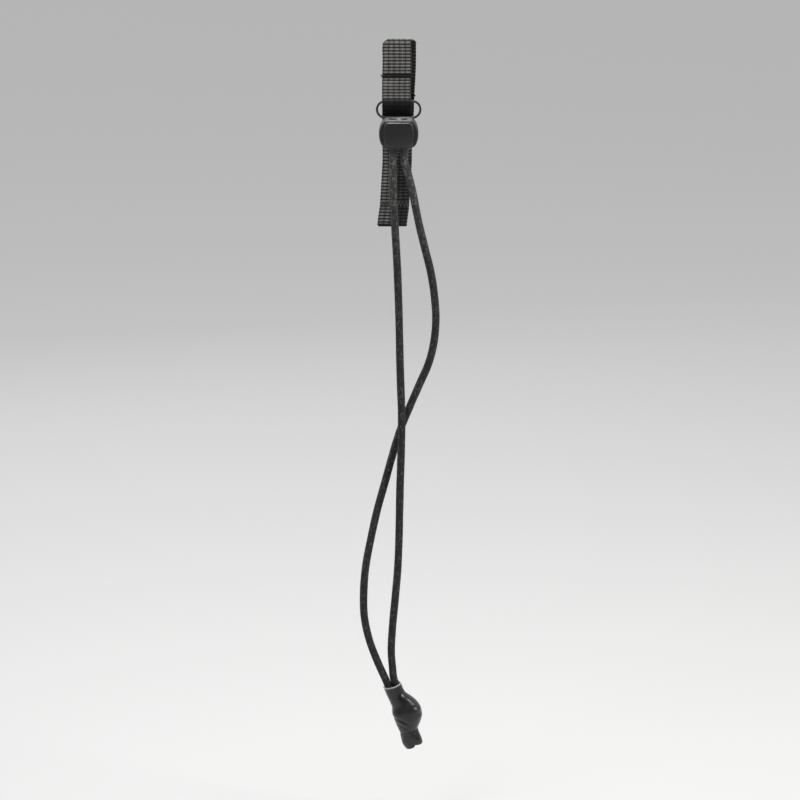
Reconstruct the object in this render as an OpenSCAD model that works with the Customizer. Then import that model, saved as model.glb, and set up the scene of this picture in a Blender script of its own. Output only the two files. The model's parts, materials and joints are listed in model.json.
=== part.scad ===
/* [Webbing] */
// Width of the webbing strap
web_w = 11.2; // [10.8:0.1:11.3]
// How far the tab's back layer sits to the right of its front layer
layer_shift = 1.4; // [0:0.1:1.4]
// Thickness of one layer of webbing
web_t = 1.2; // [0.9:0.1:1.3]
// Height of the folded top of the pull tab above the mount
tab_top = 61; // [54:1:70]
// Height of the stitching row that closes the tab
stitch_z = 47; // [45:0.5:50]
// Height of the free lower end of the tail's back layer
tail_end = -11; // [-20:1:-8]

/* [Lock housing] */
// Width of the housing at its widest
housing_w = 15; // [14.8:0.1:16]
// Distance from the housing's back to its front rim
housing_d = 9.6; // [9.6:0.1:10.5]
// Height of the housing's flat top above the mount
housing_top = 31.6; // [31.4:0.1:31.8]
// Height of the housing's rounded bottom above the mount
housing_bottom = 20.1; // [20:0.1:20.3]
// Thickness of the housing's back wall
back_wall = 0.8; // [0.7:0.1:1]
// Width of the moulded webbing loop over its two ears
loop_w = 17.3; // [16.8:0.1:18]
// Height of the loop's top above the mount
loop_top = 37.5; // [37:0.1:38]
// Thickness of the loop's band
band_t = 0.85; // [0.7:0.05:1]
// Depth of the loop's band, front to back
band_d = 1.6; // [1.2:0.1:1.8]

/* [Button] */
// Width of the button's face
button_w = 11.5; // [11:0.1:11.6]
// How far the button presses in
travel = 2.2; // [1.5:0.1:2.2]
// How far the domed face stands in front of the housing's rim
button_proud = 2.7; // [2.6:0.1:3.2]
// Gap around the button inside the housing
button_gap = 0.15; // [0.1:0.01:0.2]

/* [Spring] */
// Thickness of the spring wire
wire_d = 0.35; // [0.3:0.05:0.4]
// Mean diameter of the spring's coils
spring_d = 5.2; // [4.8:0.1:5.3]
// Number of turns of the spring
spring_turns = 4; // [3:0.5:4]

/* [Cord] */
// Diameter of the braided cord
cord_d = 3; // [2.8:0.1:3]
// Distance between the two cords in the lock
cord_pitch = 4.3; // [4.1:0.1:4.4]
// Running clearance between a cord and its bore, on the radius
bore_gap = 0.08; // [0.05:0.01:0.1]

/* [Knotted end] */
// Outer radius of the heat-shrink sleeve at its mouth
sleeve_r = 3.7; // [3.7:0.1:4]
// Largest outer radius of the sleeve, over the knot
knot_bulge_r = 5.5; // [5:0.1:6]
// Wall thickness of the sleeve
sleeve_t = 0.5; // [0.4:0.05:0.6]
// Lean of the sleeve to the right of straight down, in degrees
sleeve_lean = 22.5; // [10:0.5:30]

/* [Hidden] */

smooth = 64;      // facets of a true round, as drawn
cord_sides = 8;   // sides of a swept cord
cut = 1;          // how far a cutting solid runs past what it cuts
hair = 0.1;       // gap between pieces that only just clear each other

// strap: the two layers lie back to back, and the front one goes round the loop's bar
layer_gap = 0.1;
front_y = -1.5 * web_t - layer_gap;
bar_y = -4;
bar_z = loop_top - band_t / 2;
bar_r = 0.95;
bar_len = 11.4;
bite = 0.03;      // how far the drawn wrap reaches into the round that is cut from it
wrap_r = bar_r + hair + web_t / 2 - bite;
tail_front_end = tail_end + 0.8;
fold_r = web_t + layer_gap / 2;
strap_low = tail_end - 1;
strap_high = tab_top - tail_end + 2;
wrap_step = 15;
wrap_from = 160;  // where the front layer meets the wrap, in degrees from straight back
wrap_to = 220;    // where it leaves the wrap, for the tail

// housing, from back to front
housing_y = -2 * web_t - layer_gap - 0.4;
rim_y = housing_y - housing_d;
mid_z = 25.9;
side_r = 9.5;
bottom_r = 20;
corner_r = 8.4;   // circles that round the top and bottom corners, and how far their
corner_off = 1.1; // centres lie past the middle
inner_back_y = housing_y - back_wall;
ear_r = 3.6;

// button and plunger, at rest
face_y = rim_y - button_proud;
plunger_back_y = inner_back_y - button_gap - travel;
plunger_wall = 2.2;
pocket_d = 1.7;
pocket_r = 3.1;
cord_y = plunger_back_y - plunger_wall - hair - cord_d / 2;
slot_w = cord_d + 0.3;
slot_front_y = cord_y - cord_d / 2 - travel - hair;
slot_back_y = plunger_back_y - plunger_wall;
button_top = 30.7;
button_bottom = 21.1;
button_side_r = 18;
button_bottom_r = 16;
button_corner_r = 7;
button_corner_off = 0.6;
dome_r = 24;
rib_h = 1.6;
rib_out = 0.5;
rib_y = plunger_back_y - 3;
post_r = 1.9;
post_h = 1.1;

// cords: straight runs in the lock, then the hanging legs from the pivot down
cord_x = cord_pitch / 2;
pivot_z = housing_bottom - 1.7;
run_top = housing_top - 1;
run_bottom = pivot_z + cord_d / 2 + hair;

// Route of each hanging leg from the lock to the sleeve: x, y from the bores' plane, and z.
// The left leg passes in front of the right one where they cross.
left_route = [
    [-2.2, 0, 10], [-2, 0, 2], [-1.4, -0.2, -10], [-0.6, -0.5, -24], [0, -0.8, -40],
    [0.3, -1.2, -52], [0.5, -1.5, -62], [0.8, -1.7, -72], [1.1, -1.8, -81], [1.1, -1.8, -91],
    [0.8, -1.7, -102], [0.5, -1.4, -112], [0.3, -1, -122], [0.1, -0.6, -132],
    [-0.4, -0.3, -144], [-1.4, -0.1, -156], [-2.4, 0, -167], [-2.9, 0, -177],
    [-2.4, 0, -184]];
right_route = [
    [3.2, 0, 12], [5, 0, 5], [7.6, 0.1, -8], [10, 0.3, -18], [12.4, 0.5, -28],
    [13.8, 0.8, -38], [14.2, 1, -46], [13.4, 1.2, -55], [11.4, 1.4, -63],
    [8, 1.6, -71], [4.2, 1.7, -80], [0.6, 1.7, -89], [-2.4, 1.7, -99],
    [-5.4, 1.4, -110], [-8.4, 1, -121], [-10.8, 0.6, -132], [-12.8, 0.3, -143],
    [-13.6, 0.1, -153], [-13.4, 0, -163], [-11.6, 0, -172], [-8.8, 0, -180]];

// sleeve: its mouth, and the line that its axis follows
mouth = [-2.6, cord_y, -190.6];
sleeve_len = 26.4;
bulge_at = 13.5;
neck_at = 20.6;
tip_r = 3.6;
knot_from = 3.6;
knot_to = 19.5;
tips_from = knot_to + hair;
tips_to = sleeve_len - 0.6;

// ---- outlines and helpers ----

function unit(v) = v / norm(v);

// Direction of the line p at its point i, and the point s to the left of it there
function dir_at(p, i) = unit(p[min(i + 1, len(p) - 1)] - p[max(i - 1, 0)]);
function side_at(p, i, s) = let (d = dir_at(p, i)) p[i] + s * [-d[1], d[0]];

// Places an outline drawn in (y, z) so that it runs along X, centred
module along_x(width) {
    rotate([90, 0, 90]) translate([0, 0, -width / 2]) linear_extrude(width) children();
}

// Places an outline drawn in (x, z) so that it runs along Y, from y0 back to y1
module along_y(y0, y1) {
    translate([0, max(y0, y1), 0]) rotate([90, 0, 0])
        linear_extrude(abs(y1 - y0)) children();
}

// The lock's barrel outline: bulging sides, flat top, shallow round bottom, rounded corners
module barrel(half_w, top, bottom, r_side, r_bottom, r_corner, off_corner, grow) {
    span = 40;
    intersection() {
        translate([half_w - r_side, mid_z]) circle(r_side + grow, $fn = smooth);
        translate([r_side - half_w, mid_z]) circle(r_side + grow, $fn = smooth);
        translate([0, bottom + r_bottom]) circle(r_bottom + grow, $fn = smooth);
        translate([0, mid_z + off_corner]) circle(r_corner + grow, $fn = smooth);
        translate([0, mid_z - off_corner]) circle(r_corner + grow, $fn = smooth);
        translate([-span / 2, top + grow - span]) square(span);
    }
}

module housing_outline() {
    barrel(housing_w / 2, housing_top, housing_bottom, side_r, bottom_r,
           corner_r, corner_off, 0);
}

module button_outline(grow = 0) {
    barrel(button_w / 2, button_top, button_bottom, button_side_r, button_bottom_r,
           button_corner_r, button_corner_off, grow);
}

// A ring of points of radius r round the route p at point i, square to it
function ring(p, i, r, sides) = let (
    d = dir_at(p, i),
    u = unit(cross(d, [0, 1, 0])),
    v = cross(u, d))
    [for (k = [0 : sides - 1]) let (a = -360 * k / sides)
        p[i] + r * (cos(a) * u + sin(a) * v)];

// A tube along the points p, with the radius r[i] at p[i]
module tube(p, r, sides) {
    n = len(p);
    points = [for (i = [0 : n - 1]) each ring(p, i, r[i], sides)];
    walls = [for (i = [0 : n - 2], k = [0 : sides - 1])
        let (a = i * sides + k, b = i * sides + (k + 1) % sides)
        each [[a, a + sides, b], [b, a + sides, b + sides]]];
    top = [for (k = [0 : sides - 1]) k];
    end = [for (k = [sides - 1 : -1 : 0]) (n - 1) * sides + k];
    polyhedron(points, concat([top, end], walls), convexity = 6);
}

// Puts something drawn up the Z axis along the sleeve's axis, from its mouth down
module on_sleeve_axis() {
    translate(mouth) rotate([0, 180 - sleeve_lean, 0]) children();
}

// ---- webbing ----

// Centre line of the front layer: down from the tab, round the bar, and down the tail
front_layer = concat(
    [[front_y, stitch_z + 0.5], [front_y, stitch_z - 0.6]],
    [for (a = [wrap_from : wrap_step : wrap_to])
        [bar_y + wrap_r * cos(a), bar_z + wrap_r * sin(a)]],
    [[front_y - 0.3, 32.4], [front_y, 31.4], [front_y, tail_front_end]]);

// Side view of the strap: up its back, over the fold, round the bar and up again inside
module webbing_strap() {
    last = len(front_layer) - 1;
    fold = [for (a = [0 : wrap_step : 180])
        [-fold_r + fold_r * cos(a), tab_top - fold_r + fold_r * sin(a)]];
    outside = [for (i = [0 : last]) side_at(front_layer, i, -web_t / 2)];
    inside = [for (i = [last : -1 : 0]) side_at(front_layer, i, web_t / 2)];
    module layers() {
        difference() {
            polygon(concat([[0, tail_end]], fold, outside, inside,
                           [[-web_t, stitch_z + 0.5], [-web_t, tail_end]]));
            translate([bar_y, bar_z]) circle(bar_r + hair, $fn = smooth);
        }
    }
    color([0.11, 0.11, 0.12]) {
        translate([layer_shift / 2, 0, 0]) along_x(web_w) intersection() {
            layers();
            translate([-fold_r, strap_low]) square([2 * fold_r, strap_high]);
        }
        translate([-layer_shift / 2, 0, 0]) along_x(web_w) intersection() {
            layers();
            translate([hair - 7 * fold_r, strap_low]) square([6 * fold_r, strap_high]);
        }
    }
}

// A row of thread bars across the webbing, standing a little proud of both faces
module thread_row(count, z, x_step, bar_w, bar_h) {
    y_front = -2 * web_t - layer_gap - 0.25;
    for (i = [0 : count - 1])
        translate([(i - (count - 1) / 2) * x_step - (layer_shift + bar_w) / 2, y_front, z - bar_h / 2])
            cube([bar_w, 0.25, bar_h]);
}

module tab_stitching() {
    color([0.07, 0.07, 0.08]) thread_row(6, stitch_z, 1.85, 1.5, 0.45);
}

module tail_bartack() {
    color([0.07, 0.07, 0.08]) thread_row(16, -2, 0.66, 0.42, 2.4);
}

// ---- lock ----

module webbing_loop() {
    ear_x = loop_w / 2 - ear_r;
    ear_z = loop_top - ear_r;
    module stadium(r) {
        translate([-ear_x, ear_z]) circle(r, $fn = smooth);
        translate([ear_x, ear_z]) circle(r, $fn = smooth);
        translate([-ear_x, ear_z - r]) square([2 * ear_x, 2 * r]);
    }
    along_y(bar_y + band_d / 2, bar_y - band_d / 2) difference() {
        stadium(ear_r);
        stadium(ear_r - band_t);
    }
}

module housing() {
    color([0.1, 0.1, 0.11]) {
        translate([0, inner_back_y + hair, mid_z]) rotate([90, 0, 0])
            cylinder(r = post_r, h = post_h + hair, $fn = smooth);
        housing_shell();
    }
}

module housing_shell() {
    difference() {
        union() {
            along_y(housing_y, rim_y) housing_outline();
            webbing_loop();
            along_x(bar_len) translate([bar_y, bar_z]) circle(bar_r, $fn = smooth);
        }
        along_y(inner_back_y, rim_y - cut) button_outline(button_gap);
        // one bore through the top and bottom walls for each cord
        for (s = [-1, 1]) translate([s * cord_x, cord_y, housing_bottom - cut])
            cylinder(r = cord_d / 2 + bore_gap, h = housing_top - housing_bottom + 2 * cut,
                     $fn = smooth);
        // blind grooves for the plunger's guide ribs
        for (s = [-1, 1])
            translate([s * button_w / 2 - rib_out - button_gap,
                       rib_y - rib_h / 2 - button_gap, mid_z - rib_h / 2 - button_gap])
                cube([2 * (rib_out + button_gap), rib_h + travel + 2 * button_gap,
                      rib_h + 2 * button_gap]);
    }
}

// The spring's wire, one point at each twelfth of a turn; the first and last turns lie closed
module return_spring() {
    per_turn = 12;
    last = (spring_turns + 2) * per_turn;
    from_y = inner_back_y - wire_d / 2 - hair / 2;
    to_y = plunger_back_y - pocket_d + wire_d / 2 + hair / 2;
    closed = wire_d * 1.04;
    open = from_y - to_y - 2 * closed;
    coil = [for (i = [0 : last])
        let (turn = i / per_turn, a = 360 * turn,
             run = min(turn, 1) * closed + max(min(turn - 1, spring_turns), 0) * open / spring_turns
                 + max(turn - 1 - spring_turns, 0) * closed)
        [spring_d / 2 * cos(a), from_y - run, mid_z + spring_d / 2 * sin(a)]];
    color("silver") tube(coil, [for (q = coil) wire_d / 2], 6);
}

module plunger() {
    dome_z = mid_z;
    color([0.17, 0.17, 0.18]) difference() {
        union() {
            intersection() {
                along_y(plunger_back_y, face_y - cut) button_outline();
                translate([0, face_y + dome_r, dome_z]) sphere(dome_r, $fn = 96);
            }
            for (s = [-1, 1])
                translate([s * button_w / 2 - rib_out, rib_y - rib_h / 2, mid_z - rib_h / 2])
                    cube([2 * rib_out, rib_h, rib_h]);
        }
        // a slot for each cord, long enough for the whole travel
        for (s = [-1, 1])
            translate([s * cord_x - slot_w / 2, slot_front_y, button_bottom - cut])
                cube([slot_w, slot_back_y - slot_front_y, button_top - button_bottom + 2 * cut]);
        // pocket for the spring
        translate([0, plunger_back_y + cut, mid_z]) rotate([90, 0, 0])
            cylinder(r = pocket_r, h = pocket_d + cut, $fn = smooth);
    }
}

// ---- cords ----

module cord_run(side) {
    color([0.2, 0.2, 0.21]) translate([side * cord_x, cord_y, run_bottom])
        cylinder(d = cord_d, h = run_top - run_bottom, $fn = smooth);
}

module left_cord_run() cord_run(-1);
module right_cord_run() cord_run(1);

module hanging_cord(side, route) {
    start = [side * cord_x, cord_y, pivot_z];
    axis = [sin(sleeve_lean), 0, -cos(sleeve_lean)];
    across = [cos(sleeve_lean), 0, sin(sleeve_lean)];
    end = mouth - side * (cord_d / 2 + hair / 2) * across;
    // the top end is rounded, so that it can turn in place under the lock
    cap = [for (a = [72, 45, 20]) [cord_d / 2 * cos(a), start + [0, 0, cord_d / 2 * sin(a)]]];
    p = concat([start, start - [0, 0, 3]],
               [for (q = route) [q[0], cord_y + q[1], q[2]]],
               [end - 2 * axis, end + knot_from * axis - hair * axis]);
    color([0.2, 0.2, 0.21]) tube(concat([for (c = cap) c[1]], p),
        concat([for (c = cap) c[0]], [for (q = p) cord_d / 2]), cord_sides);
}

module left_cord() hanging_cord(-1, left_route);
module right_cord() hanging_cord(1, right_route);

// ---- knotted end ----

// Outer profile of the sleeve: radius and distance from the mouth
sleeve_profile = [
    [sleeve_r, 0], [sleeve_r, 5.5], [4.4, 8.4], [knot_bulge_r - 0.4, 10.8],
    [knot_bulge_r, bulge_at], [knot_bulge_r - 0.3, 16], [4.3, 18.6], [tip_r, neck_at],
    [tip_r, sleeve_len]];

module shrink_sleeve() {
    inner = [for (q = sleeve_profile) [q[0] - sleeve_t, q[1]]];
    color([0.06, 0.06, 0.07]) on_sleeve_axis() rotate_extrude($fn = smooth)
        polygon(concat(sleeve_profile, [for (i = [len(inner) - 1 : -1 : 0]) inner[i]]));
}

module knot() {
    gap = sleeve_t + hair;
    color([0.2, 0.2, 0.21]) on_sleeve_axis() rotate_extrude($fn = smooth) polygon([
        [0, knot_from], [sleeve_r - gap, knot_from], [sleeve_r - gap, 5.5],
        [4.4 - gap, 8.4], [knot_bulge_r - 0.4 - gap, 10.8], [knot_bulge_r - gap, bulge_at],
        [knot_bulge_r - 0.3 - gap, 16], [4.3 - gap, 18.6], [tip_r - gap, knot_to],
        [0, knot_to]]);
}

module cord_tips() {
    color([0.2, 0.2, 0.21]) on_sleeve_axis() for (s = [-1, 1])
        translate([s * (cord_d / 2 + hair / 2 - 0.05), 0, tips_from])
            cylinder(d = cord_d - 0.1, h = tips_to - tips_from, $fn = smooth);
}

webbing_strap();
tab_stitching();
tail_bartack();
housing();
return_spring();
plunger();
left_cord_run();
right_cord_run();
left_cord();
right_cord();
knot();
shrink_sleeve();
cord_tips();
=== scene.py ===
"""The looks of a push-button cord lock on its webbing pull tab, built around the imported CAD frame."""

import json
import math

import bmesh
import bpy
import numpy as np
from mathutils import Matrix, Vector


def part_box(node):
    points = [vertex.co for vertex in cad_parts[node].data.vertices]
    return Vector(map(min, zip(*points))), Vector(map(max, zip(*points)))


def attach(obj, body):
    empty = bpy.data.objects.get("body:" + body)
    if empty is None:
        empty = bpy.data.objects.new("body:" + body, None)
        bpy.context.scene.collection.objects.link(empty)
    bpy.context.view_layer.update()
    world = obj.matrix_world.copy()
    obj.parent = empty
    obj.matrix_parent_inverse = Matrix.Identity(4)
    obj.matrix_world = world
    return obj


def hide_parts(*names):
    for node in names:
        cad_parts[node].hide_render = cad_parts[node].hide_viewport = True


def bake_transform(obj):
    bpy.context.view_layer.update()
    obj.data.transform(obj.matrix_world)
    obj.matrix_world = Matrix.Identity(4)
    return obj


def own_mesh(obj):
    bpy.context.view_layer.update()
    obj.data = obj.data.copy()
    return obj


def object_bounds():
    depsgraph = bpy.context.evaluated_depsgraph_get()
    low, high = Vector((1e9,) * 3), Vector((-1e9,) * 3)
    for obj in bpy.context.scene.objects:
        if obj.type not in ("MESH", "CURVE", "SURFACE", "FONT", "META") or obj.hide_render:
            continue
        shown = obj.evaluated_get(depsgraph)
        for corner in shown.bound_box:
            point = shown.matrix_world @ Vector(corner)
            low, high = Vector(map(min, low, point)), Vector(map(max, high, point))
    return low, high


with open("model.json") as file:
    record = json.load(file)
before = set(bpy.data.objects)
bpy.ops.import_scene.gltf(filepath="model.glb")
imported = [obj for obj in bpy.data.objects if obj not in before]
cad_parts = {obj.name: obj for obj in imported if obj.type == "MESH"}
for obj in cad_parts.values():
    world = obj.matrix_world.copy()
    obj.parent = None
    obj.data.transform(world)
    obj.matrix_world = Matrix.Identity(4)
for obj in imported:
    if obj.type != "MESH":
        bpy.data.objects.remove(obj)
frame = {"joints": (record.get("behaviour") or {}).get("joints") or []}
cad_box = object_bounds()

MM = 0.001


# ------------------------ places from the frame

def span(node, axis):
    """Lowest and highest coordinate of a CAD node along one axis, in millimetres."""
    low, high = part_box(node)
    return low[axis] / MM, high[axis] / MM


X, Y, Z = 0, 1, 2
JOINTS = {j["name"]: j for j in frame["joints"]}
BAR = np.array(JOINTS["lock_swing"]["pos_m"]) / MM        # middle of the loop's bar
PIVOT = np.array(JOINTS["cord_hang"]["pos_m"]) / MM       # where the cords turn, below the lock
TRAVEL = JOINTS["button_press"]["range_m"][1] / MM

CORD_D = span("left_cord_run", X)[1] - span("left_cord_run", X)[0]
CORD_X = sum(span("right_cord_run", X)) / 2
CORD_Y = sum(span("right_cord_run", Y)) / 2
RUN_TOP = span("right_cord_run", Z)[1]
HOUSING_FRONT, HOUSING_BACK = span("housing", Y)
HOUSING_BOTTOM, LOOP_TOP = span("housing", Z)
LOOP_W = span("housing", X)[1] - span("housing", X)[0]
FACE_Y, PLUNGER_BACK = span("plunger", Y)
BUTTON_BOTTOM, BUTTON_TOP = span("plunger", Z)
TAIL_END, TAB_TOP = span("webbing_strap", Z)
STITCH_Z = sum(span("tab_stitching", Z)) / 2
TACK_Z = sum(span("tail_bartack", Z)) / 2

# Sizes that no box of a node gives, in millimetres, as in the CAD model
HOUSING_W = 15.0
HOUSING_TOP = 31.6
MID_Z = 25.9          # height of the button's and the spring's middle
BUTTON_W = 11.5
BUTTON_GAP = 0.15
BACK_WALL = 0.8
BORE_ROOM = 0.12      # between the cord and the wall of its bore, all round
POCKET_R = 3.1        # the spring's pocket in the back of the button
POCKET_DEPTH = 1.7
RIB_BACK = 3          # from the button's back forward to the middle of its guide ribs
BAR_R = 0.95
BAR_REACH = 5.7       # half the bar's length, up to the loop's ears
STRAP_W = 11.2
STRAP_T = 1.2
LAYER_GAP = 0.1
FRONT_X = -0.7        # middle of the strap's front layer
STRAP_FRONT = -2 * STRAP_T - LAYER_GAP
SLEEVE_LEAN = math.radians(22.5)
SLEEVE_LEN = 26.4
MOUTH = np.array([-2.6, CORD_Y, -190.6])   # middle of the sleeve's mouth


# ------------------------ camera, floor and light

def add_object(name, data):
    """A new object in the scene, around its mesh, light or camera data."""
    made = bpy.data.objects.new(name, data)
    bpy.context.collection.objects.link(made)
    return made


def add_camera():
    """Straight on and 12 degrees above, with the whole object in view."""
    elevation, distance = math.radians(12), 1.3
    target = Vector((0.0005, -0.007, -0.0775))
    data = bpy.data.cameras.new("camera")
    data.lens, data.sensor_width = 152, 36
    camera = add_object("camera", data)
    offset = Vector((0, -math.cos(elevation), math.sin(elevation))) * distance
    camera.location = target + offset
    camera.rotation_euler = (-offset).to_track_quat("-Z", "Y").to_euler()
    bpy.context.scene.camera = camera
    bpy.context.scene.view_settings.view_transform = "Standard"


def add_area(name, place, target, size, power, colour=(1, 1, 1)):
    """A rectangular lamp at a place, turned to its target, with its power in watts."""
    data = bpy.data.lights.new(name, "AREA")
    data.shape, data.size, data.size_y = "RECTANGLE", size[0], size[1]
    data.energy, data.color = power, colour
    light = add_object(name, data)
    light.location = place
    light.rotation_euler = (Vector(target) - Vector(place)).to_track_quat("-Z", "Y").to_euler()


def add_stage():
    """A wide pale floor just under the knot, a pale world, and soft light from above and in front."""
    half_width, below = 30, 0.03
    bm = bmesh.new()
    bmesh.ops.create_grid(bm, x_segments=1, y_segments=1, size=half_width)
    mesh = bpy.data.meshes.new("floor")
    bm.to_mesh(mesh)
    bm.free()
    floor = add_object("floor", mesh)
    floor.location = (0, 0, cad_box[0][2] - below)
    mesh.materials.append(plain_material("floor", (0.47, 0.47, 0.466), 0.8))

    add_world()
    middle = (0, 0, -0.05)
    add_area("key", (-0.5, -0.6, 0.8), middle, (0.35, 0.5), 3.2)
    add_area("side", (0.75, -0.3, 0.5), middle, (0.36, 0.6), 6.0, (1.0, 0.99, 0.97))
    add_area("top", (-0.1, 0.25, 0.9), middle, (0.6, 0.3), 2.6)
    add_area("rim", (-0.3, 0.85, 0.24), (0, 0, 0.02), (0.8, 0.26), 0.9, (0.96, 0.98, 1.0))
    add_area("overhead", (-0.03, -0.03, 0.36), (0, -0.01, 0.03), (0.18, 0.13), 1.3)
    sun = bpy.data.lights.new("sky_panel", "SUN")
    sun.energy, sun.angle = 1.5, math.radians(50)
    panel = add_object("sky_panel", sun)
    panel.rotation_euler = (math.radians(-22), math.radians(-12), 0)


def add_world():
    """A pale room, dimmer on the camera's side, so that black pieces don't mirror a white wall."""
    world = bpy.data.worlds.new("world")
    bpy.context.scene.world = world
    world.use_nodes = True
    tree = world.node_tree
    direction = tree.nodes.new("ShaderNodeSeparateXYZ")
    tree.links.new(tree.nodes.new("ShaderNodeTexCoord").outputs["Generated"],
                   direction.inputs["Vector"])
    ramp = tree.nodes.new("ShaderNodeMapRange")
    for socket, value in (("From Min", -0.5), ("From Max", 0.4), ("To Min", 0.22), ("To Max", 0.7)):
        ramp.inputs[socket].default_value = value
    ramp.interpolation_type = "SMOOTHSTEP"
    tree.links.new(direction.outputs["Y"], ramp.inputs["Value"])
    background = tree.nodes["Background"]
    background.inputs["Color"].default_value = (0.95, 0.96, 0.97, 1)
    tree.links.new(ramp.outputs["Result"], background.inputs["Strength"])


# ------------------------ node helpers

def plain_material(name, colour, roughness):
    """An even material, for the floor."""
    material = bpy.data.materials.new(name)
    material.use_nodes = True
    shader = material.node_tree.nodes["Principled BSDF"]
    shader.inputs["Base Color"].default_value = (*colour, 1)
    shader.inputs["Roughness"].default_value = roughness
    return material


class Nodes:
    """A material's node tree, with short calls for what the materials below repeat."""

    def __init__(self, name, metallic=0.0, specular=0.5, sheen=0.0):
        self.material = bpy.data.materials.new(name)
        self.material.use_nodes = True
        self.tree = self.material.node_tree
        self.shader = self.tree.nodes["Principled BSDF"]
        self.shader.inputs["Metallic"].default_value = metallic
        self.shader.inputs["Specular IOR Level"].default_value = specular
        self.shader.inputs["Sheen Weight"].default_value = sheen
        self.shader.inputs["Sheen Roughness"].default_value = 0.5
        self.coords = self.tree.nodes.new("ShaderNodeTexCoord").outputs["Object"]

    def set(self, node, **values):
        for key, value in values.items():
            node.inputs[key.replace("_", " ")].default_value = value

    def stretched(self, scale):
        """Object coordinates, scaled separately along each axis."""
        node = self.tree.nodes.new("ShaderNodeMapping")
        node.inputs["Scale"].default_value = scale
        self.tree.links.new(self.coords, node.inputs["Vector"])
        return node.outputs["Vector"]

    def noise(self, scale, detail=4, roughness=0.6, vector=None):
        node = self.tree.nodes.new("ShaderNodeTexNoise")
        self.set(node, Scale=scale, Detail=detail, Roughness=roughness)
        self.tree.links.new(vector or self.coords, node.inputs["Vector"])
        return node.outputs["Fac"]

    def attribute(self, name):
        node = self.tree.nodes.new("ShaderNodeAttribute")
        node.attribute_name = name
        return node.outputs["Fac"]

    def wave(self, name, pitch):
        """A fine wave from -1 to 1 over a stored distance, with the pitch in millimetres."""
        return self.math("SINE", self.math("MULTIPLY", self.attribute(name), 2 * math.pi / pitch), 0)

    def remap(self, value, low, high, to_low, to_high):
        node = self.tree.nodes.new("ShaderNodeMapRange")
        self.set(node, From_Min=low, From_Max=high, To_Min=to_low, To_Max=to_high)
        self.tree.links.new(value, node.inputs["Value"])
        return node.outputs["Result"]

    def math(self, operation, a, b):
        node = self.tree.nodes.new("ShaderNodeMath")
        node.operation = operation
        for socket, value in zip(node.inputs, (a, b)):
            if isinstance(value, (int, float)):
                socket.default_value = value
            else:
                self.tree.links.new(value, socket)
        return node.outputs["Value"]

    def total(self, *terms):
        """The sum of values, each times its weight."""
        whole = self.math("MULTIPLY", *terms[0])
        for value, weight in terms[1:]:
            whole = self.math("ADD", whole, self.math("MULTIPLY", value, weight))
        return whole

    def ramp(self, value, stops):
        node = self.tree.nodes.new("ShaderNodeValToRGB")
        elements = node.color_ramp.elements
        while len(elements) < len(stops):
            elements.new(0.5)
        for element, (place, colour) in zip(elements, stops):
            element.position, element.color = place, (*colour, 1)
        self.tree.links.new(value, node.inputs["Fac"])
        return node.outputs["Color"]

    def into(self, socket, output):
        self.tree.links.new(output, self.shader.inputs[socket])

    def bump(self, *layers):
        """Bump from (height, strength, distance) layers, one on top of the other."""
        below = None
        for height, strength, distance in layers:
            node = self.tree.nodes.new("ShaderNodeBump")
            self.set(node, Strength=strength, Distance=distance)
            self.tree.links.new(height, node.inputs["Height"])
            if below is not None:
                self.tree.links.new(below, node.inputs["Normal"])
            below = node.outputs["Normal"]
        self.into("Normal", below)


# ------------------------ materials

def webbing_material():
    """Black polyester webbing: grey on the crowns of the weave, with painted shade darkening its grooves and
    the sheltered parts of the strap.
    """
    n = Nodes("webbing", specular=0.15, sheen=0.04)
    crown = n.attribute("crown")
    fibres = n.noise(2600, 6, 0.7, n.stretched((1, 1, 0.25)))
    patches = n.noise(180, 3)
    yarns = n.math("MULTIPLY", n.wave("across", 0.3), n.remap(n.wave("along", 0.42), -1, 1, 0.6, 1))
    mixed = n.total((crown, 0.75), (fibres, n.remap(patches, 0.3, 0.7, 0.3, 0.5)), (yarns, 0.07))
    # painted shade: low crown values, in the grooves and sheltered parts, go near black
    n.into("Base Color", n.ramp(mixed, [
        (0.25, (0.004, 0.004, 0.0045)), (0.5, (0.017, 0.0166, 0.0162)),
        (0.75, (0.13, 0.126, 0.12)), (1.0, (0.3, 0.29, 0.275))]))
    n.into("Roughness", n.remap(fibres, 0.3, 0.7, 0.6, 0.85))
    n.bump((yarns, 0.7, 0.00005), (fibres, 0.5, 0.00006), (n.noise(9000, 2), 0.25, 0.00002))
    return n.material


def cord_material():
    """Braided polyester: black strands flecked with grey, each with its own fibres, with painted shade in
    the grooves and painted light towards the top.
    """
    n = Nodes("cord", specular=0.2, sheen=0.03)
    crown, fleck = n.attribute("crown"), n.attribute("fleck")
    fibres = n.noise(4200, 5, 0.7)
    strands = n.wave("lane", 0.17)
    lift = n.total((fleck, 0.5), (fibres, 0.4), (strands, 0.05))
    # painted shade: the braid darkens towards its grooves
    mixed = n.math("MULTIPLY", lift, n.remap(crown, 0.1, 0.9, 0.3, 1.1))
    # painted light: lighter towards the top of the cords, near the lock
    mixed = n.math("MULTIPLY", mixed, n.attribute("painted_top_light"))
    n.into("Base Color", n.ramp(mixed, [
        (0.08, (0.006, 0.006, 0.0065)), (0.3, (0.03, 0.0295, 0.03)),
        (0.5, (0.1, 0.098, 0.098)), (0.8, (0.22, 0.215, 0.212))]))
    n.into("Roughness", n.remap(fibres, 0.3, 0.7, 0.5, 0.78))
    n.bump((strands, 0.6, 0.00004), (fibres, 0.45, 0.00005))
    return n.material


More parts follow.
